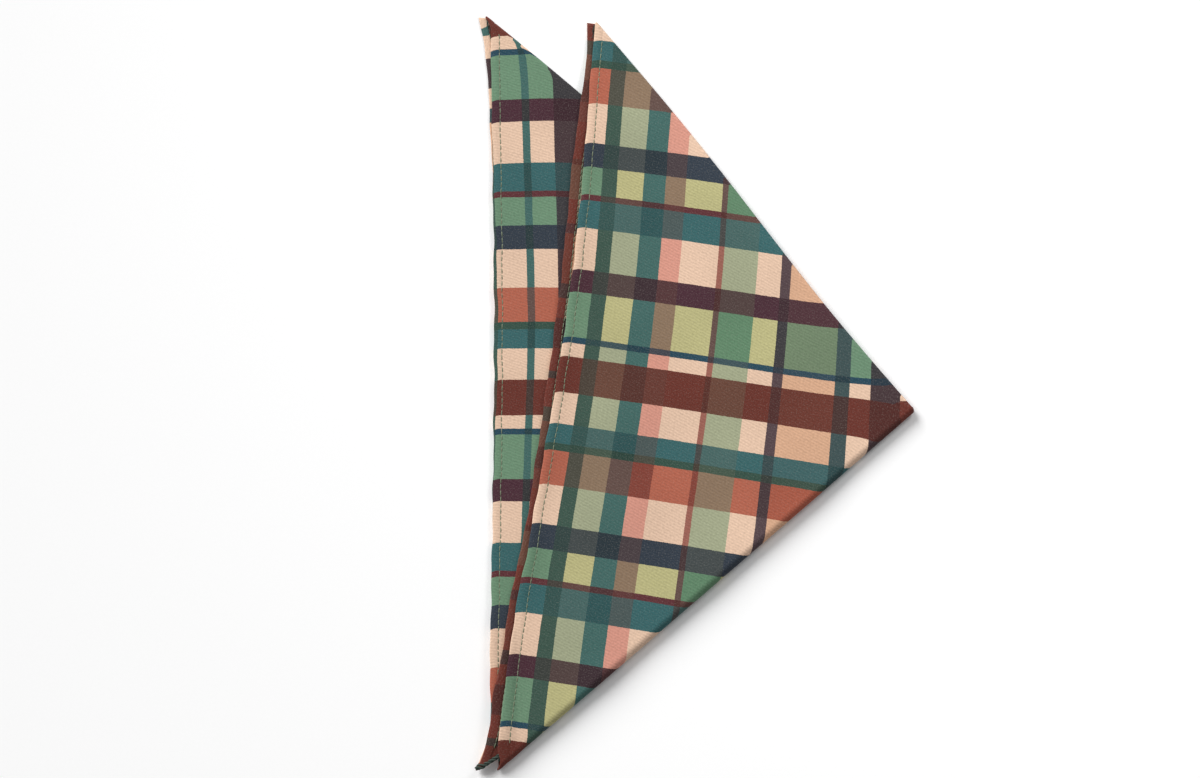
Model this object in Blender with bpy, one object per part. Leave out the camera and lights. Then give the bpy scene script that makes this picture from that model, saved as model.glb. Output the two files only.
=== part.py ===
"""Cotton handkerchief folded into a four-layer triangle.

The cloth is a hemmed square. It is folded on one diagonal and then again, so that its four creases
meet in one corner, the apex, and all four hemmed sides lie fanned along the long side. From the top
down the layers are the face panel, the second panel, the third panel and the base panel. The face
and second panels share the front upper crease, and the third and base panels the back upper crease.
Along the lower side the face and base panels wrap round the second and third ones.

The sheet is built from rings. In the flat cloth a ring is the square's outline shrunk towards the
apex. In the folded cloth it is a closed loop of four rows, one in each panel, and four half-round
bends, one at each crease. One skin of rings is the right side of the cloth, another is its wrong
side, and a strip along the hem joins them.

The handkerchief rests on z = 0 with its long side along Y. The tables and constants are in
millimetres, and the mesh is scaled to metres at the end.
"""

import math

import bmesh
import bpy
import numpy as np

# Driving dimensions.
SHEET = 1.0            # thickness of the sheet
GAP = 0.45             # air between two layers
PITCH = SHEET + GAP    # from one layer to the next
APEX = (94.2, -6.8)    # the corner where the four creases meet

# Each crease runs from the apex to its tip. The bow is how far it curves outwards at its middle, and
# the sway is the height of the wave along it, outwards near the tip and inwards near the apex.
CREASES = {
    #               tip x   tip y  bow  sway
    "front_upper": (-43.6, 161.6, 0.0, 1.3),
    "back_upper": (-91.7, 164.0, 4.3, 0.0),
    "lower_outer": (-87.8, -163.8, -0.4, 0.0),
    "lower_inner": (-90.8, -163.4, 0.0, 0.0),
}

# Each panel's rows run from its upper crease to its lower one. At the hem a row is hollow, the skew
# moves that hollow up, and next to the upper tip it splays to the right over a reach.
PANELS = {
    #          upper crease   lower crease   hollow skew splay reach
    "face": ("front_upper", "lower_outer", 3.5, 1.9, 0.0, 1.0),
    "second": ("front_upper", "lower_inner", 1.6, 0.0, -2.0, 26.0),
    "third": ("back_upper", "lower_inner", 3.3, 0.0, 2.4, 80.0),
    "base": ("back_upper", "lower_outer", 3.0, 0.0, -2.0, 18.0),
}

# The lower tip of the second and third panels turns out to the left.
HOOK = 5.4             # how far
HOOK_START = -143.0    # below this y

# How the layers lie on each other.
LEDGE = 2.4            # they stay up this far past the line of a crease under them
SLUMP_BACK = 24.0      # then come down over this width past the back upper crease
SLUMP_LOW = 9.0        # and over this width past the lower inner crease
PUFF = 1.6             # the face panel's extra rise at the lower crease
PUFF_REACH = 28.0      # the width over which it fades away
TIP_PINCH = 60.0       # it also fades over this length at the lower tip

# How finely it is faceted.
RINGS = 19             # rings past the one where the gaps between the layers end
FIRST_RING = 0.03      # that ring's distance from the apex, as a fraction of the way to the hem
ROW_POINTS = 17        # points along a row, crowded towards both ends
UPPER_BEND = 5         # segments round an upper bend
LOWER_BEND = 2 * UPPER_BEND + 1
NOSE_STEPS = 6         # steps of the turned corner at the apex

FABRIC = ("printed_cotton_twill", (0.36, 0.42, 0.31, 1.0), 0.88)


def crease_normal(name):
    """The level direction square to a crease, away from the cloth."""
    tip_x, tip_y = CREASES[name][:2]
    run = np.array((tip_x - APEX[0], tip_y - APEX[1]))
    run /= np.linalg.norm(run)
    turn = 1 if name.endswith("upper") else -1
    return turn * np.array((run[1], -run[0]))


def plain_crease(name, t):
    """A crease's plan at fractions t of the way from the apex to the tip, before the hook."""
    tip_x, tip_y, bow, sway = CREASES[name]
    t = np.asarray(t)[:, None]
    line = np.array(APEX) * (1 - t) + np.array((tip_x, tip_y)) * t
    wave = bow * 4 * t * (1 - t) - sway * np.sin(2 * math.pi * t) * (1 - 0.4 * t)
    return line + crease_normal(name) * wave


def hooked(plan):
    """Plan points of the inner panels, with the lower tip turned out to the left."""
    share = np.clip((HOOK_START - plan[..., 1]) / (HOOK_START - CREASES["lower_inner"][1]), 0, 1)
    moved = plan.copy()
    moved[..., 0] -= HOOK * share ** 2
    return moved


def crease_line(name, t):
    """A crease's plan at fractions t of the way from the apex to the tip."""
    line = plain_crease(name, t)
    return hooked(line) if name == "lower_inner" else line


def panel_plan(panel, t, w):
    """A panel's plan, for rings t and places w from the upper crease to the lower one."""
    upper, lower, hollow, skew, splay, reach = PANELS[panel]
    a = plain_crease(upper, t)[:, None]
    b = plain_crease(lower, t)[:, None]
    w = np.asarray(w)[None, :, None]
    t = np.asarray(t)[:, None, None]
    hem_length = CREASES[upper][1] - CREASES[lower][1]
    from_tip = w * hem_length
    edge = hollow * np.sin(math.pi * w) + skew * np.sin(2 * math.pi * w)
    edge = edge + splay * np.clip(from_tip / 5, 0, 1) * np.exp(-from_tip / reach) * (1 - w)
    plan = a * (1 - w) + b * w + np.array((1.0, 0.0)) * edge * t ** 2
    return hooked(plan) if lower == "lower_inner" else plan


def past_crease(points, name):
    """How far points in plan lie past a crease, less than 0 on the cloth's side."""
    line = crease_line(name, np.linspace(0, 1, 80))
    normal = crease_normal(name)
    along = np.array((-normal[1], normal[0]))
    order = np.argsort(line @ along)
    return points @ normal - np.interp(points @ along, (line @ along)[order], (line @ normal)[order])


def carried(distance, width):
    """1 over a lower layer and its ledge, easing to 0 across the width past it."""
    share = np.clip((distance - LEDGE) / width, 0, 1)
    return 1 - share * share * (3 - 2 * share)


def level(panel, points):
    """The height of a panel's middle surface over points in plan."""
    on_base = carried(past_crease(points, "back_upper"), SLUMP_BACK)
    on_inner = carried(past_crease(points, "lower_inner"), SLUMP_LOW)
    on_third = np.minimum(on_base, on_inner)
    to_crease = np.clip(1 + past_crease(points, "lower_outer") / PUFF_REACH, 0, 1)
    to_tip = np.linalg.norm(points - np.array(CREASES["lower_outer"][:2]), axis=1)
    puff = PUFF * to_crease ** 2 * np.clip(to_tip / TIP_PINCH, 0, 1)
    layers_below = {
        "base": np.zeros(len(points)),
        "third": on_base,
        "second": on_base + on_third,
        "face": on_base + on_third + on_inner + puff / PITCH,
    }
    return SHEET / 2 + PITCH * layers_below[panel]


def row_skin(panel, t, side):
    """One side of a panel, as an array of rings by points by x, y, z."""
    places = (1 - np.cos(np.linspace(0, math.pi, ROW_POINTS))) / 2
    plan = panel_plan(panel, t, places)
    height = level(panel, plan.reshape(-1, 2)).reshape(plan.shape[:2])
    upwards = (panel in ("face", "third")) == (side == "right")
    return np.dstack((plan, height + (SHEET / 2 if upwards else -SHEET / 2)))


def bend_skin(name, above, below, t, side):
    """One side of the half-round bend at a crease, from the panel above to the panel below."""
    centre = crease_line(name, t)
    top = level(above, centre)
    bottom = level(below, centre)
    outside = (name != "lower_inner") == (side == "right")
    radius = (top - bottom) / 2 + (SHEET / 2 if outside else -SHEET / 2)
    segments = UPPER_BEND if name.endswith("upper") else LOWER_BEND
    angle = np.linspace(0, math.pi, segments + 1)[None, :, None]
    out = np.append(crease_normal(name), 0.0)
    up = np.array((0.0, 0.0, 1.0))
    middle = np.column_stack((centre, (top + bottom) / 2))[:, None]
    return middle + radius[:, None, None] * (np.sin(angle) * out + np.cos(angle) * up)


def skin(t, side):
    """One side of the cloth, section by section."""
    return {
        "face": row_skin("face", t, side),
        "front_bend": bend_skin("front_upper", "face", "second", t, side),
        "second": row_skin("second", t, side),
        "inner_bend": bend_skin("lower_inner", "second", "third", t, side),
        "third": row_skin("third", t, side),
        "back_bend": bend_skin("back_upper", "third", "base", t, side),
        "base": row_skin("base", t, side),
        "outer_bend": bend_skin("lower_outer", "face", "base", t, side),
    }


def turned_nose(upper, lower):
    """The slices between the upper bends' profile and the lower bend's, round the apex."""
    start = math.atan2(*crease_normal("front_upper")[::-1])
    end = math.atan2(*crease_normal("lower_outer")[::-1])
    share = np.linspace(0, 1, NOSE_STEPS + 1)[1:-1, None]
    angle = start + (end - start) * share
    radius_a = np.linalg.norm(upper[:, :2] - APEX, axis=1)
    radius_b = np.linalg.norm(lower[:, :2] - APEX, axis=1)
    radius = radius_a * (1 - share) + radius_b * share
    height = upper[:, 2] * (1 - share) + lower[:, 2] * share
    return np.dstack((APEX[0] + radius * np.cos(angle), APEX[1] + radius * np.sin(angle), height))


class Faceted:
    """Points and faces, gathered section by section."""

    def __init__(self):
        self.points = []
        self.faces = []

    def add(self, points):
        """Adds an array of points and gives the array of their numbers."""
        first = len(self.points)
        self.points.extend(points.reshape(-1, 3).tolist())
        return np.arange(first, len(self.points)).reshape(points.shape[:-1])

    def strip(self, a, b):
        """Quads between two lines with the same number of points."""
        self.faces += [(a[i], a[i + 1], b[i + 1], b[i]) for i in range(len(a) - 1)]

    def grid(self, lines):
        """Strips between neighbouring lines."""
        for a, b in zip(lines[:-1], lines[1:]):
            self.strip(a, b)


def folded_sheet():
    """The points and faces of the whole sheet, with its sections' shared points still doubled."""
    t = np.concatenate(((0.0,), np.linspace(FIRST_RING, 1, RINGS + 1)))
    sheet = Faceted()
    right = {name: sheet.add(section) for name, section in skin(t, "right").items()}
    wrong = {name: sheet.add(section) for name, section in skin(t, "wrong").items()}

    # The two sides and the hem. Inside, the gaps between the layers start at the first ring.
    for name in right:
        pocket = name in ("second", "inner_bend", "third")
        sheet.grid(right[name][1 if pocket else 0:])
        sheet.grid(wrong[name][1:])
        sheet.strip(right[name][-1], wrong[name][-1])

    # The walls that end those gaps at the first ring.
    sheet.strip(right["second"][1], right["third"][1])
    sheet.strip(wrong["face"][1], wrong["second"][1])
    sheet.strip(wrong["third"][1], wrong["base"][1])
    sheet.strip(wrong["outer_bend"][1], wrong["inner_bend"][1])
    sheet.faces += [tuple(wrong[name][1]) for name in ("front_bend", "back_bend")]
    sheet.faces.append(tuple(right["inner_bend"][1]))

    # The closed mouth between the upper bends, and the corner at the apex.
    mouth = np.array((right["front_bend"][:2, -1], right["back_bend"][:2, 0]))
    sheet.grid(mouth)
    upper = np.concatenate((right["front_bend"][0], right["back_bend"][0]))
    lower = right["outer_bend"][0]
    points = np.array(sheet.points)
    nose = sheet.add(turned_nose(points[upper], points[lower]))
    sheet.grid(np.vstack((upper, nose, lower)))
    return sheet


def fabric():
    """Matt printed cotton."""
    name, colour, roughness = FABRIC
    material = bpy.data.materials.new(name)
    material.use_nodes = True
    shader = material.node_tree.nodes["Principled BSDF"]
    shader.inputs["Base Color"].default_value = colour
    shader.inputs["Roughness"].default_value = roughness
    shader.inputs["Metallic"].default_value = 0.0
    return material


def handkerchief():
    """The whole cloth as one closed solid."""
    sheet = folded_sheet()
    points = np.array(sheet.points)
    middle = (points.min(axis=0) + points.max(axis=0)) / 2
    points[:, :2] -= middle[:2]
    mesh = bpy.data.meshes.new("handkerchief")
    mesh.from_pydata(points.tolist(), [], sheet.faces)
    shape = bmesh.new()
    shape.from_mesh(mesh)
    bmesh.ops.remove_doubles(shape, verts=shape.verts, dist=0.002)
    bmesh.ops.recalc_face_normals(shape, faces=shape.faces)
    bmesh.ops.scale(shape, vec=(0.001, 0.001, 0.001), verts=shape.verts)
    shape.to_mesh(mesh)
    shape.free()
    mesh.shade_smooth()
    mesh.set_sharp_from_angle(angle=math.radians(50))
    mesh.materials.append(fabric())
    bpy.context.scene.collection.objects.link(bpy.data.objects.new("handkerchief", mesh))


for old in list(bpy.data.objects):
    bpy.data.objects.remove(old, do_unlink=True)

handkerchief()
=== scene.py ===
"""Looks of the folded plaid handkerchief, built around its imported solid.

The cloth is one closed sheet made from rings, as its solid is, but finer and thinner, with its turned
hem, its sewing and the way it settles. Tables and constants are in millimetres, and the finished
meshes are in metres. Cloth coordinates (u, v) are millimetres on the flat square, with v down the hem
of the face panel and u in from it. The UV map "cloth" holds them, and the plaid reads nothing else.
"""

import math

import bmesh
import bpy
import numpy as np
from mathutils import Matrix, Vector


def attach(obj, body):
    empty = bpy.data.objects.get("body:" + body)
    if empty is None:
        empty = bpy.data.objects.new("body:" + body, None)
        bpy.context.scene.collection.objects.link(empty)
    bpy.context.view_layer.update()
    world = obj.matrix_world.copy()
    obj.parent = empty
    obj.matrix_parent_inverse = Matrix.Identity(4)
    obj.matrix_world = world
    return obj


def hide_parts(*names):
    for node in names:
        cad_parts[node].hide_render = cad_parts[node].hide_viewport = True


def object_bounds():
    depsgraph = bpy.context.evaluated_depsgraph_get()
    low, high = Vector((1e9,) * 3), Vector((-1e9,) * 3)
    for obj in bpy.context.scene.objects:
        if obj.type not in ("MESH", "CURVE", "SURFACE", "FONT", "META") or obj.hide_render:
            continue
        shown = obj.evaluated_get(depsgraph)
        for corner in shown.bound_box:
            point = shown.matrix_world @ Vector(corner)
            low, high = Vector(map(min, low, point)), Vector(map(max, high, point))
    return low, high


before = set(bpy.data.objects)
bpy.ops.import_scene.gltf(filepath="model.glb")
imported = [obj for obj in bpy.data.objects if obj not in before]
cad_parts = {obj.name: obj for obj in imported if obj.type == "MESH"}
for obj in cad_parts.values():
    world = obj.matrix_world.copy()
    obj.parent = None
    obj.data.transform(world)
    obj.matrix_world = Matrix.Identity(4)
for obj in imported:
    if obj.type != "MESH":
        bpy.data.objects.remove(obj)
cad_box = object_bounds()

# The flat cloth and its fold.
SIDE = 330.0                           # side of the square
FOLD_POINT = np.array((149.6, 149.6))  # cloth point where the four creases meet
CORNERS = {                            # cloth corner at the tip of each crease
    "front_upper": np.array((0.0, 0.0)),
    "lower_outer": np.array((0.0, SIDE)),
    "back_upper": np.array((SIDE, SIDE)),
    "lower_inner": np.array((SIDE, 0.0)),
}
CLOTH = 0.5            # thickness of the cloth
PITCH = 1.45           # from one layer to the next
APEX = (94.2, -6.8)    # the folded corner in plan
CENTRING = (-0.18, 0.38)  # puts the middle of the folded cloth on the origin

# Each crease runs from the apex to its tip. The bow is how far it curves outwards at its middle, and
# the sway is the height of the wave along it.
CREASES = {
    #               tip x   tip y  bow  sway
    "front_upper": (-43.6, 161.6, 0.0, 1.3),
    "back_upper": (-91.7, 164.0, 4.3, 0.0),
    "lower_outer": (-87.8, -163.8, -0.4, 0.0),
    "lower_inner": (-90.8, -163.4, 0.0, 0.0),
}

# Each panel's rows run from its upper crease to its lower one. At the hem a row is hollow, the skew
# moves that hollow up, and next to the upper tip it splays to the right over a reach, or to the left
# where the splay is less than 0. The depth is the cloth's own distance from the fold point to the hem.
PANELS = {
    #          upper crease   lower crease   hollow skew splay reach  depth
    "face": ("front_upper", "lower_outer", 3.5, 1.9, 0.0, 1.0, 149.6),
    "second": ("front_upper", "lower_inner", 1.6, 0.0, -3.3, 16.0, 149.6),
    "third": ("back_upper", "lower_inner", 3.0, 0.35, 2.4, 80.0, 180.4),
    "base": ("back_upper", "lower_outer", 3.0, 0.0, -3.5, 10.0, 180.4),
}
BENDS = {
    #              crease      panel above, panel below
    "front_bend": ("front_upper", "face", "second"),
    "inner_bend": ("lower_inner", "second", "third"),
    "back_bend": ("back_upper", "third", "base"),
    "outer_bend": ("lower_outer", "face", "base"),
}
HOOK_START = -143.0    # the y below which the inner panels' lower tip turns
HOOK, DROP = 5.4, 1.5  # how far it turns to the left and down
BLUNT = ("second", "base")  # the panels whose upper tip is a blunt folded corner
BLUNT_RISE = 2.1       # how far that corner stands up past the crease's end
ROW_EASE = 0.8         # distance from a row's ends over which the hem's own shifts grow from nothing
NEAR_HEM = 20          # power of the way to the hem that keeps such a shift within some 20 mm of it

# How the layers lie on each other.
LEDGE = 2.4                    # how far past a lower layer's crease a layer stays level
SLUMP_BACK, SLUMP_LOW = 24.0, 9.0  # widths over which it then eases down, past the two inner creases
PUFF, PUFF_REACH = 1.0, 60.0   # the height and width of the face panel's roll over the lower crease
TIP_PINCH = 60.0               # distance over which that roll dies out towards the crease's ends
LOW_LIFT = 1.5                 # how far the hems stand off the base panel near the lower tip
LIFT_FROM, LIFT_WIDTH = -90.5, 13.0  # the x where that lift is whole, and the width it dies out over
HEM_LIFT = 0.7                 # how far the face panel's hem stands off the layer under it
FLATTENED = {"lower_outer": 1.15}  # how much wider than high a bend is, where it isn't round
SETTLE = 0.028                 # share of its height by which the settled cloth waves
# How much of the cloth in a bend moves the panels' ends towards the apex.
DRAWN = {"front_upper": 0.35, "back_upper": 0.35, "lower_outer": 1.0, "lower_inner": 0.8}

# The hem.
HEM = 3.5              # width of the turned hem, and where its stitches run
HEM_EXTRA = 0.35       # how much thicker it is
HEM_SWELL = 0.11       # how far it swells between stitches and edge, and dips along the stitches
HEM_TWIST = 0.9        # how far its edge has slid along the hem
EDGE_ROUND = 0.55      # width over which its edge rounds off
PUCKER = 0.10          # height of the puckers along it
HEM_ZONE = 6.0         # width of the zone with rings of its own
HEM_RINGS = (6.0, 5.2, 4.6, 4.2, 3.9, 3.65, 3.45, 3.2, 2.8, 2.2, 1.5, 0.95, 0.55, 0.3, 0.12, 0.03, 0.0)
INNER_RINGS = 46       # rings from the apex to that zone
FIRST_RING = 0.03      # where the gaps between the layers end, near the apex
ROW_POINTS = 150
UPPER_BEND = 8         # segments round an upper bend
LOWER_BEND = 2 * UPPER_BEND + 1
NOSE_STEPS = 8         # steps of the turned corner at the apex


def bell(x, middle, width):
    """1 at the middle, falling away on both sides as a bell curve."""
    return np.exp(-((x - middle) / width) ** 2)


def eased_step(x, start, end):
    """0 before the start, 1 past the end, and a soft step between them."""
    share = np.clip((x - start) / (end - start), 0, 1)
    return share * share * (3 - 2 * share)


def crease_run(name):
    """The level direction along a crease, from the apex to its tip."""
    run = np.array(CREASES[name][:2]) - APEX
    return run / np.linalg.norm(run)


def crease_normal(name):
    """The level direction square to a crease, away from the cloth."""
    run = crease_run(name)
    turn = 1 if name.endswith("upper") else -1
    return turn * np.array((run[1], -run[0]))


def plain_crease(name, t):
    """Plan of a crease: a straight line from apex to tip, plus a bow and one wave across it."""
    tip_x, tip_y, bow, sway = CREASES[name]
    t = np.asarray(t, float)[..., None]
    line = np.array(APEX) * (1 - t) + np.array((tip_x, tip_y)) * t
    wave = bow * 4 * t * (1 - t) - sway * np.sin(2 * math.pi * t) * (1 - 0.4 * t)
    return line + crease_normal(name) * wave


def hooked(plan):
    """Plan points moved left by the hook, and down by the drop, times the squared share of the way
    down the lower tip."""
    share = np.clip((HOOK_START - plan[..., 1]) / (HOOK_START - CREASES["lower_inner"][1]), 0, 1)
    moved = plan.copy()
    moved[..., 0] -= HOOK * share ** 2
    moved[..., 1] -= DROP * share ** 2
    return moved


def crease_line(name, t):
    """Plan of a crease with the hook at its tip, where it has one."""
    line = plain_crease(name, t)
    return hooked(line) if name == "lower_inner" else line


def outline_angle(name, panel):
    """The angle between a crease and the square's outline at its corner, on a panel's side."""
    upper, lower = PANELS[panel][:2]
    crease = FOLD_POINT - CORNERS[name]
    outline = CORNERS[lower if name == upper else upper] - CORNERS[name]
    return math.acos(crease @ outline / np.linalg.norm(crease) / np.linalg.norm(outline))


def bend_cloth(name, t):
    """Cloth from a bend's middle to its end: a quarter of a circle between the two panels' levels."""
    above, below = next(b[1:] for b in BENDS.values() if b[0] == name)
    line = crease_line(name, t)
    return math.pi / 4 * (level(above, line) - level(below, line))


def drawn_back(name, panel, t):
    """How far towards the apex a bend's end lies from its middle, so that the plaid runs straight
    on round the bend: the cloth in half the bend over the tangent of the outline's angle."""
    near_apex = np.clip(t / 0.12, 0, 1)
    return DRAWN[name] * near_apex * bend_cloth(name, t) / math.tan(outline_angle(name, panel))


def drawn_left(panel, t, w, low, from_tip, to_tip):
    """How far a panel's hem is drawn to the left: soft steps and bells down the hem, where low is the
    distance below the middle, times a power of the way to the hem."""
    if panel == "face":  # all along it, least at its middle, and a flare on its lower third
        along = (0.5 + 0.8 * np.cos(math.pi * w) ** 2) * (1 - np.exp(-from_tip / 15))
        flare = 1.2 * eased_step(low, 65, 95) * t ** (2 * NEAR_HEM)
        return (along * np.sin(math.pi * w) ** 0.3 * t ** 8 + flare) * np.clip(to_tip / 4.5, 0, 1)
    if panel == "second":  # on its lower third, most of all above the tip, and near its top
        lower_third = 1.9 * eased_step(low, 55, 90) * (1 - eased_step(low, 148, 162))
        return (lower_third + bell(low, 134, 9) + 2.0 * bell(low, -106, 40)) * t ** NEAR_HEM
    if panel == "third":  # to the right instead, a little above the tip
        return -0.9 * eased_step(low, 124, 140) * (1 - eased_step(low, 148, 160)) * t ** NEAR_HEM
    return np.zeros_like(low)


def panel_plan(panel, t, w):
    """Plan of a panel: a straight mix of its two creases across the row, plus a hollow and a splay
    that grow with the square of the way to the hem, a slight unevenness of the hem itself, and what
    draws the hem to the left."""
    upper, lower, hollow, skew, splay, reach, depth = PANELS[panel]
    a = plain_crease(upper, t) - crease_run(upper) * drawn_back(upper, panel, t)[:, None]
    b = plain_crease(lower, t) - crease_run(lower) * drawn_back(lower, panel, t)[:, None]
    a, b = a[:, None], b[:, None]
    w = np.asarray(w)[None, :, None]
    t = np.asarray(t)[:, None, None]
    row = CREASES[upper][1] - CREASES[lower][1]
    from_tip, to_tip = w * row, (1 - w) * row
    inside_ends = np.clip(from_tip / ROW_EASE, 0, 1) * np.clip(to_tip / ROW_EASE, 0, 1)
    splay_start = ROW_EASE if panel in BLUNT else 5.0  # where the splay is whole, from the tip

    plan = a * (1 - w) + b * w
    edge = hollow * np.sin(math.pi * w) + skew * np.sin(2 * math.pi * w)
    splayed = splay * np.clip(from_tip / splay_start, 0, 1) ** 0.6 * np.exp(-from_tip / reach)
    edge = edge + splayed * (1 - w)
    phase = 1.7 * depth + 0.9 * hollow
    uneven = 0.22 * np.sin(from_tip / 5.1 + phase) + 0.16 * np.sin(from_tip / 2.3 + 2 * phase)
    uneven = uneven * np.exp(-(1 - t) * depth / 7) * np.sin(math.pi * w) ** 0.5
    uneven = uneven - drawn_left(panel, t, w, -plan[..., 1:], from_tip, to_tip) * inside_ends
    plan = plan + np.array((1.0, 0.0)) * (edge * t ** 2 + uneven)
    if panel in BLUNT:
        rise = BLUNT_RISE * bell(from_tip, 0, 2.5) * t ** NEAR_HEM * inside_ends
        plan = plan + np.array((0.0, 1.0)) * rise
    return hooked(plan) if lower == "lower_inner" else plan


def past_crease(points, name):
    """How far points in plan lie past a crease, less than 0 on the cloth's side."""
    line = crease_line(name, np.linspace(0, 1, 80))
    normal = crease_normal(name)
    along = np.array((-normal[1], normal[0]))
    order = np.argsort(line @ along)
    return points @ normal - np.interp(points @ along, (line @ along)[order], (line @ normal)[order])


def carried(distance, width):
    """1 over a lower layer and its ledge, easing to 0 across the width past it."""
    return 1 - eased_step(distance, LEDGE, LEDGE + width)


def level(panel, plan):
    """Height of a panel's middle surface: half a cloth, plus a pitch for each layer under it, the roll
    over the lower crease and the lift of the hems near the lower tip."""
    points = plan.reshape(-1, 2)
    on_base = carried(past_crease(points, "back_upper"), SLUMP_BACK)
    on_inner = carried(past_crease(points, "lower_inner"), SLUMP_LOW)
    on_third = np.minimum(on_base, on_inner)
    inside = np.clip(-past_crease(points, "lower_outer"), 0, PUFF_REACH)
    puff = PUFF * (1 - inside / PUFF_REACH) ** 2
    for end in (CREASES["lower_outer"][:2], APEX):
        puff = puff * np.clip(np.linalg.norm(points - np.array(end), axis=1) / TIP_PINCH, 0, 1)
    below_middle = -points[:, 1]
    low = eased_step(below_middle, 70, 105) * (1 - eased_step(below_middle, 150, 162))
    lift = LOW_LIFT / PITCH * low * (1 - np.clip((points[:, 0] - LIFT_FROM) / LIFT_WIDTH, 0, 1) ** 2)
    layers_below = {
        "base": np.zeros(len(points)),
        "third": on_base + lift,
        "second": on_base + on_third + lift,
        "face": on_base + on_third + on_inner + lift + puff / PITCH,
    }
    return (CLOTH / 2 + PITCH * layers_below[panel]).reshape(plan.shape[:-1])


def rings(panel):
    """A panel's rings: their fractions of the way to the hem, and their distances from the hem."""
    depth = PANELS[panel][6]
    inner = np.concatenate(((0.0,), np.linspace(FIRST_RING, 1, INNER_RINGS)[:-1]))
    inner = inner * (1 - HEM_ZONE / depth)
    t = np.concatenate((inner, 1 - np.array(HEM_RINGS) / depth))
    return t, (1 - t) * depth


def half_thickness(side, from_hem):
    """From the middle surface to one side. The edge is a quarter of an ellipse, the hem's extra layers
    lie on the wrong side, and both sides swell along the hem's middle and dip along its stitches."""
    edge = np.clip(from_hem / EDGE_ROUND, 0, 1)
    rounded = np.sqrt(1 - (1 - edge) ** 2)
    turned = HEM_EXTRA * (1 - np.tanh((from_hem - HEM - 0.15) / 0.18)) / 2
    swell = HEM_SWELL * (bell(from_hem, 1.7, 1.0) - bell(from_hem, HEM, 0.3))
    return rounded * (CLOTH / 2 + swell + (turned if side == "wrong" else 0))


def puckers(panel, from_hem, along):
    """Small ripples that the sewing draws up, dying out away from the hem."""
    phase = {"face": 0.3, "second": 2.1, "third": 4.4, "base": 1.2}[panel]
    beat = np.sin(along / 1.35 + phase + 1.3 * np.sin(along / 11.0 + phase))
    slow = 0.5 + 0.5 * np.sin(along / 17.0 + 2 * phase)
    return PUCKER * (0.5 + 0.5 * beat) * (0.35 + 0.65 * slow) * bell(from_hem, 2.5, 4.2)


def settled(points):
    """Points after the cloth settles: long soft waves in height, none at the surface it lies on and
    growing with the height, as the layers above carry the waves of those below."""
    x, y, z = np.moveaxis(points, -1, 0)
    wave = np.sin((0.8 * x + 0.6 * y) / 9.5 + 0.4) + 0.7 * np.sin((0.35 * x - 0.94 * y) / 6.1 + 2.0)
    wave = wave + 0.5 * np.sin((0.97 * x + 0.24 * y) / 4.3 + 4.1)
    return np.stack((x + CENTRING[0], y + CENTRING[1], z * (1 + SETTLE * wave)), -1)


def row_cloth(panel, t, w, starts):
    """Cloth coordinates of a panel: along the shrunken outline of the square, between the points
    where the bends at its two ends take over."""
    upper, lower = PANELS[panel][:2]
    a, b = CORNERS[upper], CORNERS[lower]
    along = (b - a) / SIDE
    side = SIDE * t[:, None]
    first, last = starts[upper][:, None], starts[lower][:, None]
    place = first + w[None] * (side - first - last)
    corner = FOLD_POINT + t[:, None] * (a - FOLD_POINT)
    return corner[:, None] + place[..., None] * along


def bend_starts(panel, t):
    """For a panel's two creases, how far along the outline from the corner each bend reaches: the
    cloth in half the bend over the sine of the angle between crease and outline."""
    return {name: np.minimum(bend_cloth(name, t) / math.sin(outline_angle(name, panel)), 0.35 * SIDE * t)
            for name in PANELS[panel][:2]}


def turned_flap(panel, side, cloth, from_hem):
    """Cloth coordinates where the turned-in strip shows on the wrong side: its own run of the plaid."""
    if side == "right":
        return cloth
    cloth = cloth.copy()
    depth = np.broadcast_to(from_hem[:, None], cloth.shape[:2])
    if panel == "second":
        cloth[..., 1] = -9.0 - depth
    elif panel == "base":
        cloth[..., 1] = SIDE + 3.0 + depth
        cloth[..., 0] -= 4.2 + 0.02 * (SIDE - cloth[..., 0])
    elif panel == "face":
        cloth[..., 0] = -depth
    else:
        cloth[..., 0] = SIDE + depth
    return cloth


def eased(panel, cloth, weight=1.0):
    """Cloth coordinates after the cloth has stretched and slid a little in the two panels that show:
    soft shifts of the plaid, over it (along u) and down it (along v). They are about a millimetre on
    the face, and up to 7 on the third. At the second panel's lower tip the corner is turned in twice,
    so the turned-in strip's colour shows further in."""
    u, v = cloth[..., 0], cloth[..., 1]
    if panel == "face":
        lower = np.clip((v - 150) / 100, 0, 1)
        over = 0.8 * bell(v, 50, 45) - 0.9 * bell(v, 185, 60) - 1.3 * lower * np.exp(-u / 12)
        down = -1.2 * bell(v, 52, 30) + 0.5 * bell(v, 205, 36) - 0.6 * bell(v, 265, 28)
        down = down - 0.9 * (1 - np.exp(-u / 45)) - 0.002 * np.clip(u - 70, 0, None)
    elif panel == "third":
        from_edge = SIDE - u
        over = 1.5 + 2.3 * np.sin(math.pi * v / SIDE) ** 2 - 1.3 * np.clip((192 - v) / 57, 0, 1)
        over = over - 1.3 * bell(v, 318, 14)
        down = 0.013 * v - 7.4 - 2.2 * np.exp(-from_edge / 18)
        down = down + 0.0032 * np.clip(from_edge - 13, 0, 30) ** 2
    elif panel == "second":
        over, down = 0 * u, -14.0 * eased_step(u, 304, 310) * (1 - eased_step(v, 8, 20))
    else:
        return cloth
    return cloth + np.stack((weight * over, weight * down), -1)


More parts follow.
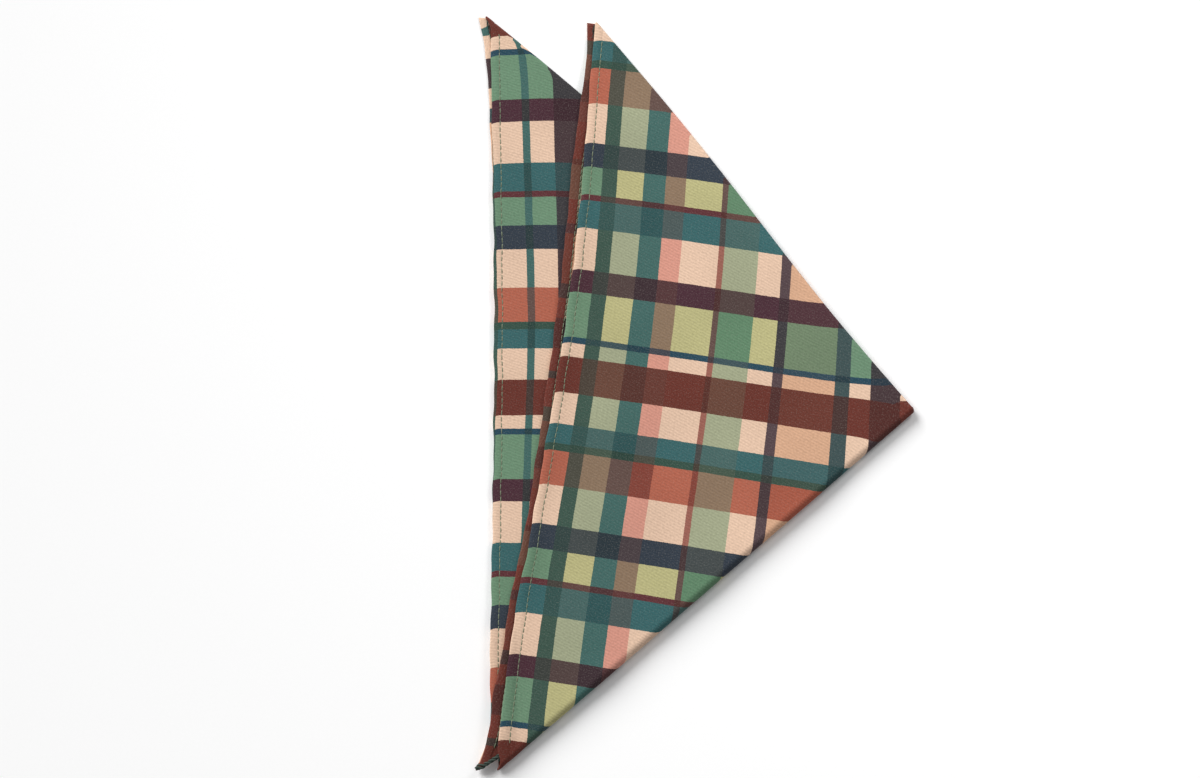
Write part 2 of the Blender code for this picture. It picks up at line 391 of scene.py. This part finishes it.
def row_skin(panel, side, t, from_hem, w):
    """One side of a panel over rings and places along them: (points, cloth coordinates)."""
    plan = panel_plan(panel, t, w)
    starts = bend_starts(panel, t)
    cloth = row_cloth(panel, t, w, starts)
    along = cloth[..., 1] if panel in ("face", "third") else cloth[..., 0]
    middle = level(panel, plan) + puckers(panel, from_hem[:, None], along) * np.sin(math.pi * w) ** 0.25
    upwards = (panel in ("face", "third")) == (side == "right")
    if panel == "face":
        middle = middle + HEM_LIFT * bell(from_hem[:, None], 0, 5) * np.sin(math.pi * w) ** 0.5
    offset = half_thickness(side, from_hem)[:, None] * (1 if upwards else -1)
    twist = HEM_TWIST * np.clip(1 - from_hem / HEM, 0, 1)[:, None] ** 2
    if panel == "face":
        cloth[..., 1] -= twist
    elif panel == "third":
        cloth[..., 1] += twist
    return np.dstack((plan, middle + offset)), eased(panel, cloth)


def bend_skin(bend, side, segments):
    """One side of a half-round bend along a crease: a half circle square to the crease carried along
    it, its middle drawn towards the tip so that the corner of the cloth comes to a point."""
    name, above, below = BENDS[bend]
    turn = np.linspace(0, 1, segments + 1)[None]
    t_above, hem_above = (x[:, None] for x in rings(above))
    t_below, hem_below = (x[:, None] for x in rings(below))
    t = t_above * (1 - turn) + t_below * turn
    from_hem = hem_above * (1 - turn) + hem_below * turn
    back = np.where(turn < 0.5, drawn_back(name, above, t), drawn_back(name, below, t))
    centre = plain_crease(name, t) - crease_run(name) * (back * abs(2 * turn - 1))[..., None]
    if name == "lower_inner":
        centre = hooked(centre)
    top, bottom = level(above, centre), level(below, centre)
    outside = (name != "lower_inner") == (side == "right")
    radius = (top - bottom) / 2 + half_thickness(side, from_hem) * (1 if outside else -1)
    angle = (math.pi * turn)[..., None]
    out = np.append(crease_normal(name), 0.0) * FLATTENED.get(name, 1.0)
    up = np.array((0.0, 0.0, 1.0))
    middle = np.dstack((centre, (top + bottom) / 2))
    points = middle + radius[..., None] * (np.sin(angle) * out + np.cos(angle) * up)

    corner = FOLD_POINT + t[..., None] * (CORNERS[name] - FOLD_POINT)
    cloth = corner
    for panel, share in ((above, np.clip(1 - 2 * turn, 0, 1)), (below, np.clip(2 * turn - 1, 0, 1))):
        upper, lower = PANELS[panel][:2]
        far = CORNERS[lower if name == upper else upper]
        start = bend_starts(panel, rings(panel)[0])[name][:, None]
        cloth = cloth + (start * share)[..., None] * (far - CORNERS[name]) / SIDE
    return points, eased(below, eased(above, cloth, 1 - turn), turn)


def skin(side):
    """One side of the whole cloth, section by section, each (points, cloth coordinates)."""
    ramp = np.linspace(0, 1, ROW_POINTS)
    places = 0.55 * ramp + 0.45 * (1 - np.cos(math.pi * ramp)) / 2
    sections = {panel: row_skin(panel, side, *rings(panel), places) for panel in PANELS}
    for bend, (crease, above, below) in BENDS.items():
        sections[bend] = bend_skin(bend, side, UPPER_BEND if crease.endswith("upper") else LOWER_BEND)
    return sections


def turned_nose(upper, lower):
    """Slices round the apex, between the upper bends' profile and the lower bend's: each point keeps
    its height and swings round the apex at a radius that eases from one profile's to the other's."""
    start = math.atan2(*crease_normal("front_upper")[::-1])
    end = math.atan2(*crease_normal("lower_outer")[::-1])
    share = np.linspace(0, 1, NOSE_STEPS + 1)[1:-1, None]
    angle = start + (end - start) * share
    radius_a = np.linalg.norm(upper[:, :2] - APEX, axis=1)
    radius_b = np.linalg.norm(lower[:, :2] - APEX, axis=1)
    radius = radius_a * (1 - share) + radius_b * share
    height = upper[:, 2] * (1 - share) + lower[:, 2] * share
    return np.dstack((APEX[0] + radius * np.cos(angle), APEX[1] + radius * np.sin(angle), height))


class Surfaces:
    """Grids of points gathered into one mesh, with a UV for each corner of each face."""

    def __init__(self):
        self.points, self.quads, self.maps, self.count = [], [], [], 0

    def add(self, points):
        self.points.append(points.reshape(-1, 3))
        first, self.count = self.count, self.count + points[..., 0].size
        return np.arange(first, self.count).reshape(points.shape[:-1])

    def grid(self, numbers, cloth):
        corners = ((slice(None, -1), slice(None, -1)), (slice(None, -1), slice(1, None)),
                   (slice(1, None), slice(1, None)), (slice(1, None), slice(None, -1)))
        self.quads.append(np.stack([numbers[c] for c in corners], -1).reshape(-1, 4))
        self.maps.append(np.stack([cloth[c] for c in corners], -2).reshape(-1, 4, 2))

    def wall(self, a, b):
        """A hidden wall between two lines of points."""
        self.grid(np.stack((a, b)), np.broadcast_to(FOLD_POINT, (2, len(a), 2)))

    def mesh(self, name, uv_name):
        points = np.concatenate(self.points) * 0.001
        quads = np.concatenate(self.quads)
        mesh = bpy.data.meshes.new(name)
        mesh.vertices.add(len(points))
        mesh.vertices.foreach_set("co", points.ravel())
        mesh.loops.add(quads.size)
        mesh.loops.foreach_set("vertex_index", quads.ravel())
        mesh.polygons.add(len(quads))
        mesh.polygons.foreach_set("loop_start", np.arange(0, quads.size, 4))
        mesh.uv_layers.new(name=uv_name)
        mesh.update(calc_edges=True)
        mesh.uv_layers[uv_name].uv.foreach_set("vector", np.concatenate(self.maps).ravel())
        return mesh


def welded(mesh):
    """The mesh with its doubled points merged and its faces turned outwards."""
    shape = bmesh.new()
    shape.from_mesh(mesh)
    bmesh.ops.remove_doubles(shape, verts=shape.verts, dist=2e-6)
    bmesh.ops.dissolve_degenerate(shape, edges=shape.edges, dist=1e-7)
    bmesh.ops.recalc_face_normals(shape, faces=shape.faces)
    shape.to_mesh(mesh)
    shape.free()
    mesh.shade_smooth()
    return mesh


def folded_cloth():
    """The whole cloth: two skins of rings that meet along the rounded hem. The gaps between the layers
    end at the first ring, where hidden walls close them, and the nose closes the apex."""
    made = Surfaces()
    sides = {side: skin(side) for side in ("right", "wrong")}
    hem_from = INNER_RINGS + HEM_RINGS.index(3.65)  # the ring where the turned-in strip begins
    numbers = {}
    for side, sections in sides.items():
        for name, (points, cloth) in sections.items():
            index = numbers[side, name] = made.add(settled(points))
            pocket = side == "wrong" or name in ("second", "inner_bend", "third")
            first = 1 if pocket else 0
            made.grid(index[first:hem_from + 1], cloth[first:hem_from + 1])
            rim = cloth[hem_from:]
            if name in PANELS:
                rim = turned_flap(name, side, rim, rings(name)[1][hem_from:])
            made.grid(index[hem_from:], rim)

    right = {name: numbers["right", name] for name in sides["right"]}
    wrong = {name: numbers["wrong", name] for name in sides["wrong"]}
    made.wall(right["second"][1], right["third"][1])
    made.wall(wrong["face"][1], wrong["second"][1])
    made.wall(wrong["third"][1], wrong["base"][1])
    made.wall(wrong["outer_bend"][1], wrong["inner_bend"][1])
    for arc in (wrong["front_bend"][1], wrong["back_bend"][1], right["inner_bend"][1]):
        half = len(arc) // 2 + 1
        made.wall(arc[:half], arc[::-1][:half])

    made.wall(right["front_bend"][:2, -1], right["back_bend"][:2, 0])
    upper_points = np.concatenate([sides["right"][n][0][0] for n in ("front_bend", "back_bend")])
    upper = np.concatenate((right["front_bend"][0], right["back_bend"][0]))
    nose = made.add(settled(turned_nose(upper_points, sides["right"]["outer_bend"][0][0])))
    lines = np.vstack((upper, nose, right["outer_bend"][0]))
    made.grid(lines, np.broadcast_to(FOLD_POINT, lines.shape + (2,)))
    return welded(made.mesh("folded_cloth", "cloth"))


# The sewing.
STITCH = 2.7           # length of a stitch
THREAD = 0.2           # radius of the thread
THREAD_SIDES = 6
STITCH_DIP, STITCH_RISE = -0.3, 0.44  # the thread's height at a needle hole, and its rise from there
STRAND, LOOSE_END = 0.5, 0.16  # radii of the strands at the lower inner tip and of the loose ends


def tube_along(path, radius, lift=None, flat=1.0):
    """A six-sided tube carried along a path, with a map of (length, angle) on it. The lift, a function
    of the length so far, moves it square to the path, and flat is its height over its width."""
    run = np.gradient(path, axis=0)
    run /= np.linalg.norm(run, axis=1)[:, None]
    length = np.concatenate(((0.0,), np.cumsum(np.linalg.norm(np.diff(path, axis=0), axis=1))))
    across = np.cross(run, (0.0, 0.0, 1.0))
    up = np.cross(across, run)
    angle = np.linspace(0, 2 * math.pi, THREAD_SIDES + 1)[None, :, None]
    centre = path if lift is None else path + up * lift(length)[:, None]
    ring = radius * (np.cos(angle) * across[:, None] + flat * np.sin(angle) * up[:, None])
    return centre[:, None] + ring, np.stack(np.broadcast_arrays(length[:, None], angle[..., 0]), -1)


def sewn_line(panel, side, from_hem):
    """One hem's line of stitches on one side: a tube along the seam, lying on the cloth through each
    stitch and dipping under its surface at each needle hole."""
    depth = PANELS[panel][6]
    w = np.linspace(0.012, 0.988, int(SIDE / STITCH) * 9)
    t = np.array((1 - from_hem / depth,))
    points, _ = row_skin(panel, side, t, np.array((from_hem,)), w)
    outwards = 1 if (panel in ("face", "third")) == (side == "right") else -1

    def lift(length):
        beat = np.abs(np.sin(math.pi * length / STITCH))
        return outwards * (STITCH_DIP + STITCH_RISE * beat ** 0.6)

    return tube_along(settled(points)[0], THREAD, lift, 0.8)


def corner_threads():
    """Thread ends at the corners, each (path, radius): at the lower inner tip three strands twisted
    round each other along the fold's end and swelling into a knot, and at the two upper tips two short
    loose ends beside the hem."""
    # These ends take the sewing thread's green darkened to near black: painted shade for the fold's tip
    # and for the slots they lie in.
    share = np.linspace(0, 1, 60)
    outwards = crease_normal("lower_inner")
    past = 1.3 - 1.2 * share ** 3  # how far outside the crease they lie, least at the knot
    line = crease_line("lower_inner", 0.952 + 0.046 * share) + past[:, None] * outwards
    height = (level("second", line) + level("third", line)) / 2 + 0.95
    middle = np.column_stack((line, height))
    wide = (0.55 + 0.65 * bell(share, 0.88, 0.16))[:, None] * np.sqrt(1 - 0.97 * share ** 10)[:, None]
    strands = []
    for k in range(3):
        turn = 2 * math.pi * (2.1 * share + k / 3)
        off = np.cos(turn)[:, None] * np.append(outwards, 0) * wide
        off = off + np.sin(turn)[:, None] * np.array((0, 0, 0.5))
        strands.append((settled(middle + off), STRAND))
    # The loose ends lie a little under the hem's surface, in the slot beside it. They are loose thread,
    # and they also stand in for that slot's shade.
    for panel in ("face", "third"):
        for k, reach in enumerate((0.012, 0.017)):
            edge = panel_plan(panel, np.array((1.0,)), 0.002 + reach * share)[0]
            edge = edge - np.array((0.35 + 0.3 * k, 0.0)) + 0.25 * np.sin(9 * share + k)[:, None]
            height = level(panel, edge) - 0.35 + 0.3 * np.sin(5 * share + 2 * k)
            strands.append((settled(np.column_stack((edge, height))), LOOSE_END))
    return strands


def sewn_mesh(name, tubes):
    """Tubes and their maps as one mesh, each closed at both ends."""
    made = Surfaces()
    half = THREAD_SIDES // 2 + 1
    for tube, place in tubes:
        made.grid(made.add(tube), place)
        for end in (0, -1):
            ring = made.add(tube[end])
            made.wall(ring[:half], ring[::-1][:half])
    return welded(made.mesh(name, "thread"))


def hem_sewing():
    """The stitches of all four hems, on both sides of the cloth."""
    lines = [sewn_line(panel, side, HEM) for panel in PANELS for side in ("right", "wrong")]
    return sewn_mesh("hem_sewing", lines)


# Materials.
def linear(hex_colour):
    """An sRGB hex colour as linear RGBA."""
    srgb = [int(hex_colour[i:i + 2], 16) / 255 for i in (1, 3, 5)]
    return tuple(c / 12.92 if c <= 0.04045 else ((c + 0.055) / 1.055) ** 2.4 for c in srgb) + (1.0,)


def add(material, kind, links=(), **settings):
    """Adds a node, sets its settings, and links outputs into its inputs. A setting whose name is one
    of the node's own properties is set there, and any other is an input's number or colour, with _1
    for the input numbered 1 and underscores for the spaces in a name."""
    tree = material.node_tree
    node = tree.nodes.new(kind)
    for name, value in settings.items():
        if hasattr(node, name):
            setattr(node, name, value)
        else:
            slot = int(name[1:]) if name[1:].isdigit() else name.replace("_", " ")
            node.inputs[slot].default_value = value
    for slot, output in dict(links).items():
        tree.links.new(output, node.inputs[slot])
    return node


def fill_ramp(node, stops):
    """Sets a ramp's flat steps from (start as a share of the ramp, linear colour)."""
    ramp = node.color_ramp
    ramp.interpolation = "CONSTANT"
    while len(ramp.elements) > 1:
        ramp.elements.remove(ramp.elements[-1])
    for i, (position, colour) in enumerate(stops):
        element = ramp.elements[0] if i == 0 else ramp.elements.new(position)
        element.position = position
        element.color = colour
    return node


# The print's inks.
PALE, GREEN, ORANGE, TEAL = "#EAC8AE", "#6F9175", "#B66752", "#3B6769"
BROWN, PLUM, NAVY, WINE = "#6D362D", "#4D2F39", "#363F4A", "#623438"
FOREST, PINE, BLUE, SEA = "#40594E", "#385348", "#2A4B5B", "#456B66"
SAGE, LEAF, YELLOW, TAN = "#A6AB8C", "#63886A", "#BEB985", "#8F7761"
PINK, APRICOT, RUST, BRICK = "#DB9A88", "#DBAD8D", "#A95B47", "#86453A"
ROSE, UMBER, DUSK, SLATE = "#9F6558", "#66504A", "#58474B", "#415455"
CHARCOAL, GRAPHITE, OLIVE, MOSS = "#49393C", "#3E3C3F", "#504F45", "#72866A"

# The plaid. Bands lie across the face panel, one after another down its hem, and repeat.
BANDS = (
    # width, ink
    (13.4, PALE), (8.8, TEAL), (3.1, PINE), (15.0, ORANGE), (17.3, PALE),
    (10.5, NAVY), (12.0, GREEN), (2.9, WINE), (12.3, TEAL), (18.6, PALE),
    (9.6, PLUM), (19.6, GREEN), (2.7, BLUE), (6.4, PALE), (15.8, BROWN),
)
BAND_START = -5.3      # v where a repeat starts

# Stripes run down it, printed over the bands. Over the pale, the green and the orange bands each shows
# as an ink of its own. Over the deep bands it keeps a share of the band's colour and lays on a share of
# its ink over pale.
STRIPES = (
    # width, over pale, over green, over orange, kept, laid
    (6.2, FOREST, FOREST, OLIVE, 0.35, 0.45),
    (11.0, SAGE, YELLOW, TAN, 0.75, 0.09),
    (9.7, SEA, SEA, UMBER, 0.6, 0.08),
    (8.9, PINK, TAN, BRICK, 0.6, 0.07),
    (16.3, PALE, YELLOW, ORANGE, 1.0, 0.0),
    (2.75, ROSE, UMBER, BRICK, 0.35, 0.15),
    (14.6, SAGE, LEAF, TAN, 0.75, 0.09),
    (10.8, PALE, YELLOW, ORANGE, 1.0, 0.0),
    (4.4, DUSK, GRAPHITE, CHARCOAL, 0.4, 0.25),
    (22.0, APRICOT, MOSS, RUST, 0.9, 0.02),
    (6.8, SLATE, SLATE, CHARCOAL, 0.35, 0.25),
    (8.9, PALE, GREEN, ORANGE, 1.0, 0.0),
    (13.1, CHARCOAL, GRAPHITE, CHARCOAL, 0.5, 0.2),
    (10.2, PALE, GREEN, ORANGE, 1.0, 0.0),
    (2.75, SEA, SEA, UMBER, 0.35, 0.2),
    (13.1, PALE, GREEN, ORANGE, 1.0, 0.0),
)
STRIPE_START = 8.9     # u where a repeat starts


def steps(widths, colours):
    """Flat steps of a ramp: each starts at the sum of the widths before it, over their total."""
    starts = np.concatenate(((0.0,), np.cumsum(widths)[:-1])) / sum(widths)
    return list(zip(starts.tolist(), colours))


def repeat_share(material, coordinate, start, widths):
    """How far through its repeat a coordinate is, from 0 to 1."""
    total = sum(widths)
    moved = add(material, "ShaderNodeMath", {0: coordinate}, operation="ADD", _1=4 * total - start)
    share = add(material, "ShaderNodeMath", {0: moved.outputs[0]}, operation="DIVIDE", _1=total)
    return add(material, "ShaderNodeMath", {0: share.outputs[0]}, operation="FRACT").outputs[0]


def printed_cotton_twill():
    """Cotton twill, woven then printed: matt, with fine slanting ribs, slightly soft edges to the
    print, a light speckle where the pale yarn shows, and a faint bloom at grazing angles."""
    material = bpy.data.materials.new("printed_cotton_twill")
    material.use_nodes = True
    material.node_tree.nodes.clear()
    cloth = add(material, "ShaderNodeUVMap", uv_map="cloth").outputs[0]

    # The print's edges wander a little over about 11 mm, and fray by a yarn.
    drift = add(material, "ShaderNodeTexNoise", {"Vector": cloth}, Scale=0.09, Detail=1.0)
    fray = add(material, "ShaderNodeTexNoise", {"Vector": cloth}, Scale=2.2, Detail=1.0)
    printed = cloth
    for wander in (drift, fray):
        off = add(material, "ShaderNodeVectorMath", {0: wander.outputs[1]},
                  operation="SUBTRACT", _1=(0.5, 0.5, 0.5))
        printed = add(material, "ShaderNodeVectorMath", {0: off.outputs[0], 2: printed},
                      operation="MULTIPLY_ADD", _1=(0.35, 0.35, 0.0)).outputs[0]
    place = add(material, "ShaderNodeSeparateXYZ", {0: printed})

    band_widths = [b[0] for b in BANDS]
    stripe_widths = [s[0] for s in STRIPES]
    down = repeat_share(material, place.outputs["Y"], BAND_START, band_widths)
    across = repeat_share(material, place.outputs["X"], STRIPE_START, stripe_widths)

    def ramp(factor, widths, colours):
        """A flat colour for each width of a repeat."""
        node = add(material, "ShaderNodeValToRGB", {0: factor})
        return fill_ramp(node, steps(widths, colours)).outputs[0]

    def blended(kind, a, b, share=None):
        """Colour b blended into colour a, wholly or by the share that an output gives."""
        links = {6: a, 7: b} if share is None else {0: share, 6: a, 7: b}
        return add(material, "ShaderNodeMix", links, data_type="RGBA", blend_type=kind, _0=1.0).outputs[2]

    def share_of(share, ink=(1.0, 1.0, 1.0, 1.0)):
        """A linear colour scaled by a share."""
        return tuple(share * c for c in ink[:3]) + (1.0,)

    ground = ramp(down, band_widths, [linear(ink) for _, ink in BANDS])
    kept = ramp(across, stripe_widths, [share_of(s[4]) for s in STRIPES])
    laid = ramp(across, stripe_widths, [share_of(s[5], linear(s[1])) for s in STRIPES])
    colour = blended("ADD", blended("MULTIPLY", ground, kept), laid)
    for column, band in ((1, PALE), (2, GREEN), (3, ORANGE)):
        stripe = ramp(across, stripe_widths, [linear(s[column]) for s in STRIPES])
        here = ramp(down, band_widths, [share_of(float(ink == band)) for _, ink in BANDS])
        colour = blended("MIX", colour, stripe, here)

    # Ribs 1.2 mm apart, slanting down to the right at 20 degrees: coarser than the real 0.6 mm ones,
    # so that they show.
    slanted = add(material, "ShaderNodeMapping", {0: cloth}, Rotation=(0.0, 0.0, math.radians(-110)))
    ribs = add(material, "ShaderNodeTexWave", {"Vector": slanted.outputs[0]}, Scale=0.26,
               Distortion=2.2, Detail=2.0, Detail_Scale=1.6)

    # Slubs in the yarn of about 0.9 mm, specks of lint of 0.5 mm, and an uneven wash over 30 mm.
    yarn = add(material, "ShaderNodeTexNoise", {"Vector": cloth}, Scale=1.15, Detail=3.0)
    lint = add(material, "ShaderNodeTexNoise", {"Vector": cloth}, Scale=1.9, Detail=1.0)
    wash = add(material, "ShaderNodeTexNoise", {"Vector": cloth}, Scale=0.035, Detail=2.0)
    rib_shade = add(material, "ShaderNodeMapRange", {0: ribs.outputs[1]}, To_Min=0.79, To_Max=0.89)
    yarn_shade = add(material, "ShaderNodeMapRange", {0: yarn.outputs[0]}, From_Min=0.25, From_Max=0.75,
                     To_Min=0.85, To_Max=1.15)
    wash_shade = add(material, "ShaderNodeMapRange", {0: wash.outputs[0]}, From_Min=0.3, From_Max=0.7,
                     To_Min=0.96, To_Max=1.04)
    shade = rib_shade
    for other in (yarn_shade, wash_shade):
        shade = add(material, "ShaderNodeMath", {0: shade.outputs[0], 1: other.outputs[0]},
                    operation="MULTIPLY")
    shaded = add(material, "ShaderNodeVectorMath", {0: colour, 3: shade.outputs[0]}, operation="SCALE")
    specks = add(material, "ShaderNodeMapRange", {0: lint.outputs[0]}, From_Min=0.52, From_Max=0.8,
                 To_Min=0.0, To_Max=0.12)
    shaded = add(material, "ShaderNodeMix", {0: specks.outputs[0], 6: shaded.outputs[0]},
                 data_type="RGBA", _7=linear("#C9C2B8"))

    height = add(material, "ShaderNodeMath", {0: ribs.outputs[1], 1: yarn.outputs[0]}, operation="ADD")
    bump = add(material, "ShaderNodeBump", {"Height": height.outputs[0]}, Strength=0.3, Distance=0.00008)
    shader = add(material, "ShaderNodeBsdfPrincipled",
                 {"Base Color": shaded.outputs[2], "Normal": bump.outputs[0]},
                 Roughness=0.86, IOR=1.45, Specular_IOR_Level=0.1, Sheen_Weight=0.04,
                 Sheen_Roughness=0.5)
    add(material, "ShaderNodeOutputMaterial", {0: shader.outputs[0]})
    return material


def spun_sewing_thread(name, dark, light):
    """Spun polyester sewing thread between two tones, uneven along its length, with the twist of its
    plies as fine slanting bands."""
    material = bpy.data.materials.new(name)
    material.use_nodes = True
    material.node_tree.nodes.clear()
    place = add(material, "ShaderNodeUVMap", uv_map="thread").outputs[0]
    tilted = add(material, "ShaderNodeMapping", {0: place}, Rotation=(0.0, 0.0, math.radians(35)))
    plies = add(material, "ShaderNodeTexWave", {"Vector": tilted.outputs[0]}, Scale=0.9)
    fuzz = add(material, "ShaderNodeTexNoise", {"Vector": place}, Scale=0.6, Detail=2.0)
    mixed = add(material, "ShaderNodeMix", {0: fuzz.outputs[0]}, data_type="RGBA",
                _6=linear(dark), _7=linear(light))
    bump = add(material, "ShaderNodeBump", {"Height": plies.outputs[1]}, Strength=0.4, Distance=0.00005)
    shader = add(material, "ShaderNodeBsdfPrincipled",
                 {"Base Color": mixed.outputs[2], "Normal": bump.outputs[0]},
                 Roughness=0.6, IOR=1.5, Sheen_Weight=0.1)
    add(material, "ShaderNodeOutputMaterial", {0: shader.outputs[0]})
    return material


def studio_white():
    """Matt white paper sweep: even, with the faintest grain."""
    material = bpy.data.materials.new("matt_white_paper")
    material.use_nodes = True
    material.node_tree.nodes.clear()
    place = add(material, "ShaderNodeTexCoord").outputs["Object"]
    grain = add(material, "ShaderNodeTexNoise", {"Vector": place}, Scale=900.0, Detail=2.0)
    tone = add(material, "ShaderNodeMapRange", {0: grain.outputs[0]}, To_Min=0.955, To_Max=0.975)
    shader = add(material, "ShaderNodeBsdfPrincipled", {"Base Color": tone.outputs[0]}, Roughness=0.9)
    add(material, "ShaderNodeOutputMaterial", {0: shader.outputs[0]})
    return material


def shown(mesh, material):
    """An object for a mesh in its material, put in the scene."""
    piece = bpy.data.objects.new(mesh.name, mesh)
    mesh.materials.append(material)
    bpy.context.scene.collection.objects.link(piece)
    return piece


# The pieces.
cloth = shown(folded_cloth(), printed_cotton_twill())
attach(cloth, "root")
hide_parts("handkerchief")

sewing = shown(hem_sewing(), spun_sewing_thread("green_sewing_thread", "#56634F", "#8E9679"))
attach(sewing, "root")

# The thread ends are the green sewing thread in near-black tones. They are real ends of thread, and their
# dark colour is painted shade for the fold's lower inner tip and the shaded slots beside the hems at the
# upper tips.
ends = sewn_mesh("corner_threads", [tube_along(*strand) for strand in corner_threads()])
ends = shown(ends, spun_sewing_thread("thread_ends_painted_shade", "#0A0F0D", "#2B4235"))
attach(ends, "root")

# The floor, the lights and the camera, in metres.
FLOOR_HALF, FLOOR_GAP = 3.0, 0.0002  # half its side, and how far under the cloth it is
floor_mesh = bpy.data.meshes.new("floor")
floor_z = cad_box[0].z - FLOOR_GAP
floor_mesh.from_pydata([(x * FLOOR_HALF, y * FLOOR_HALF, floor_z)
                        for x, y in ((-1, -1), (1, -1), (1, 1), (-1, 1))], [], [(0, 1, 2, 3)])
floor = shown(floor_mesh, studio_white())

SKY = 0.27             # share of the light that comes from all round
KEY = 0.655            # share that comes from the upper left
KEY_RISE = math.radians(30)   # how high that light stands
world = bpy.data.worlds.new("soft_studio")
world.use_nodes = True
world.node_tree.nodes["Background"].inputs[0].default_value = (1.0, 1.0, 1.0, 1.0)
world.node_tree.nodes["Background"].inputs[1].default_value = SKY
bpy.context.scene.world = world

key_lamp = bpy.data.lights.new("key", "SUN")
key_lamp.energy = KEY * math.pi / math.sin(KEY_RISE)
key_lamp.angle = math.radians(38)
key = bpy.data.objects.new("key", key_lamp)
travels = Vector((0.647 * math.cos(KEY_RISE), -0.762 * math.cos(KEY_RISE), -math.sin(KEY_RISE)))
key.rotation_euler = travels.to_track_quat("-Z", "Y").to_euler()
bpy.context.scene.collection.objects.link(key)

FILL = 0.19            # share that a small lamp on the upper right adds at the middle
fill_lamp = bpy.data.lights.new("fill", "AREA")
fill_lamp.size = 0.2
place = Vector((0.26, 0.32, 0.36))
fill_lamp.energy = FILL * math.pi ** 2 * place.length ** 3 / place.z
fill = bpy.data.objects.new("fill", fill_lamp)
fill.location = place
fill.rotation_euler = (-place).to_track_quat("-Z", "Y").to_euler()
bpy.context.scene.collection.objects.link(fill)

VIEW_WIDTH = 0.5256    # what the camera, which looks straight down, takes in at the floor
VIEW_CENTRE = (-0.0414, 0.00175)
CAMERA_HEIGHT = 2.2
lens = bpy.data.cameras.new("camera")
lens.sensor_width = 36.0
lens.lens = 36.0 * CAMERA_HEIGHT / VIEW_WIDTH
lens.clip_end = 20.0
camera = bpy.data.objects.new("camera", lens)
camera.location = VIEW_CENTRE + (CAMERA_HEIGHT,)
bpy.context.scene.collection.objects.link(camera)
bpy.context.scene.camera = camera
bpy.context.scene.view_settings.view_transform = "Standard"

bpy.context.view_layer.update()
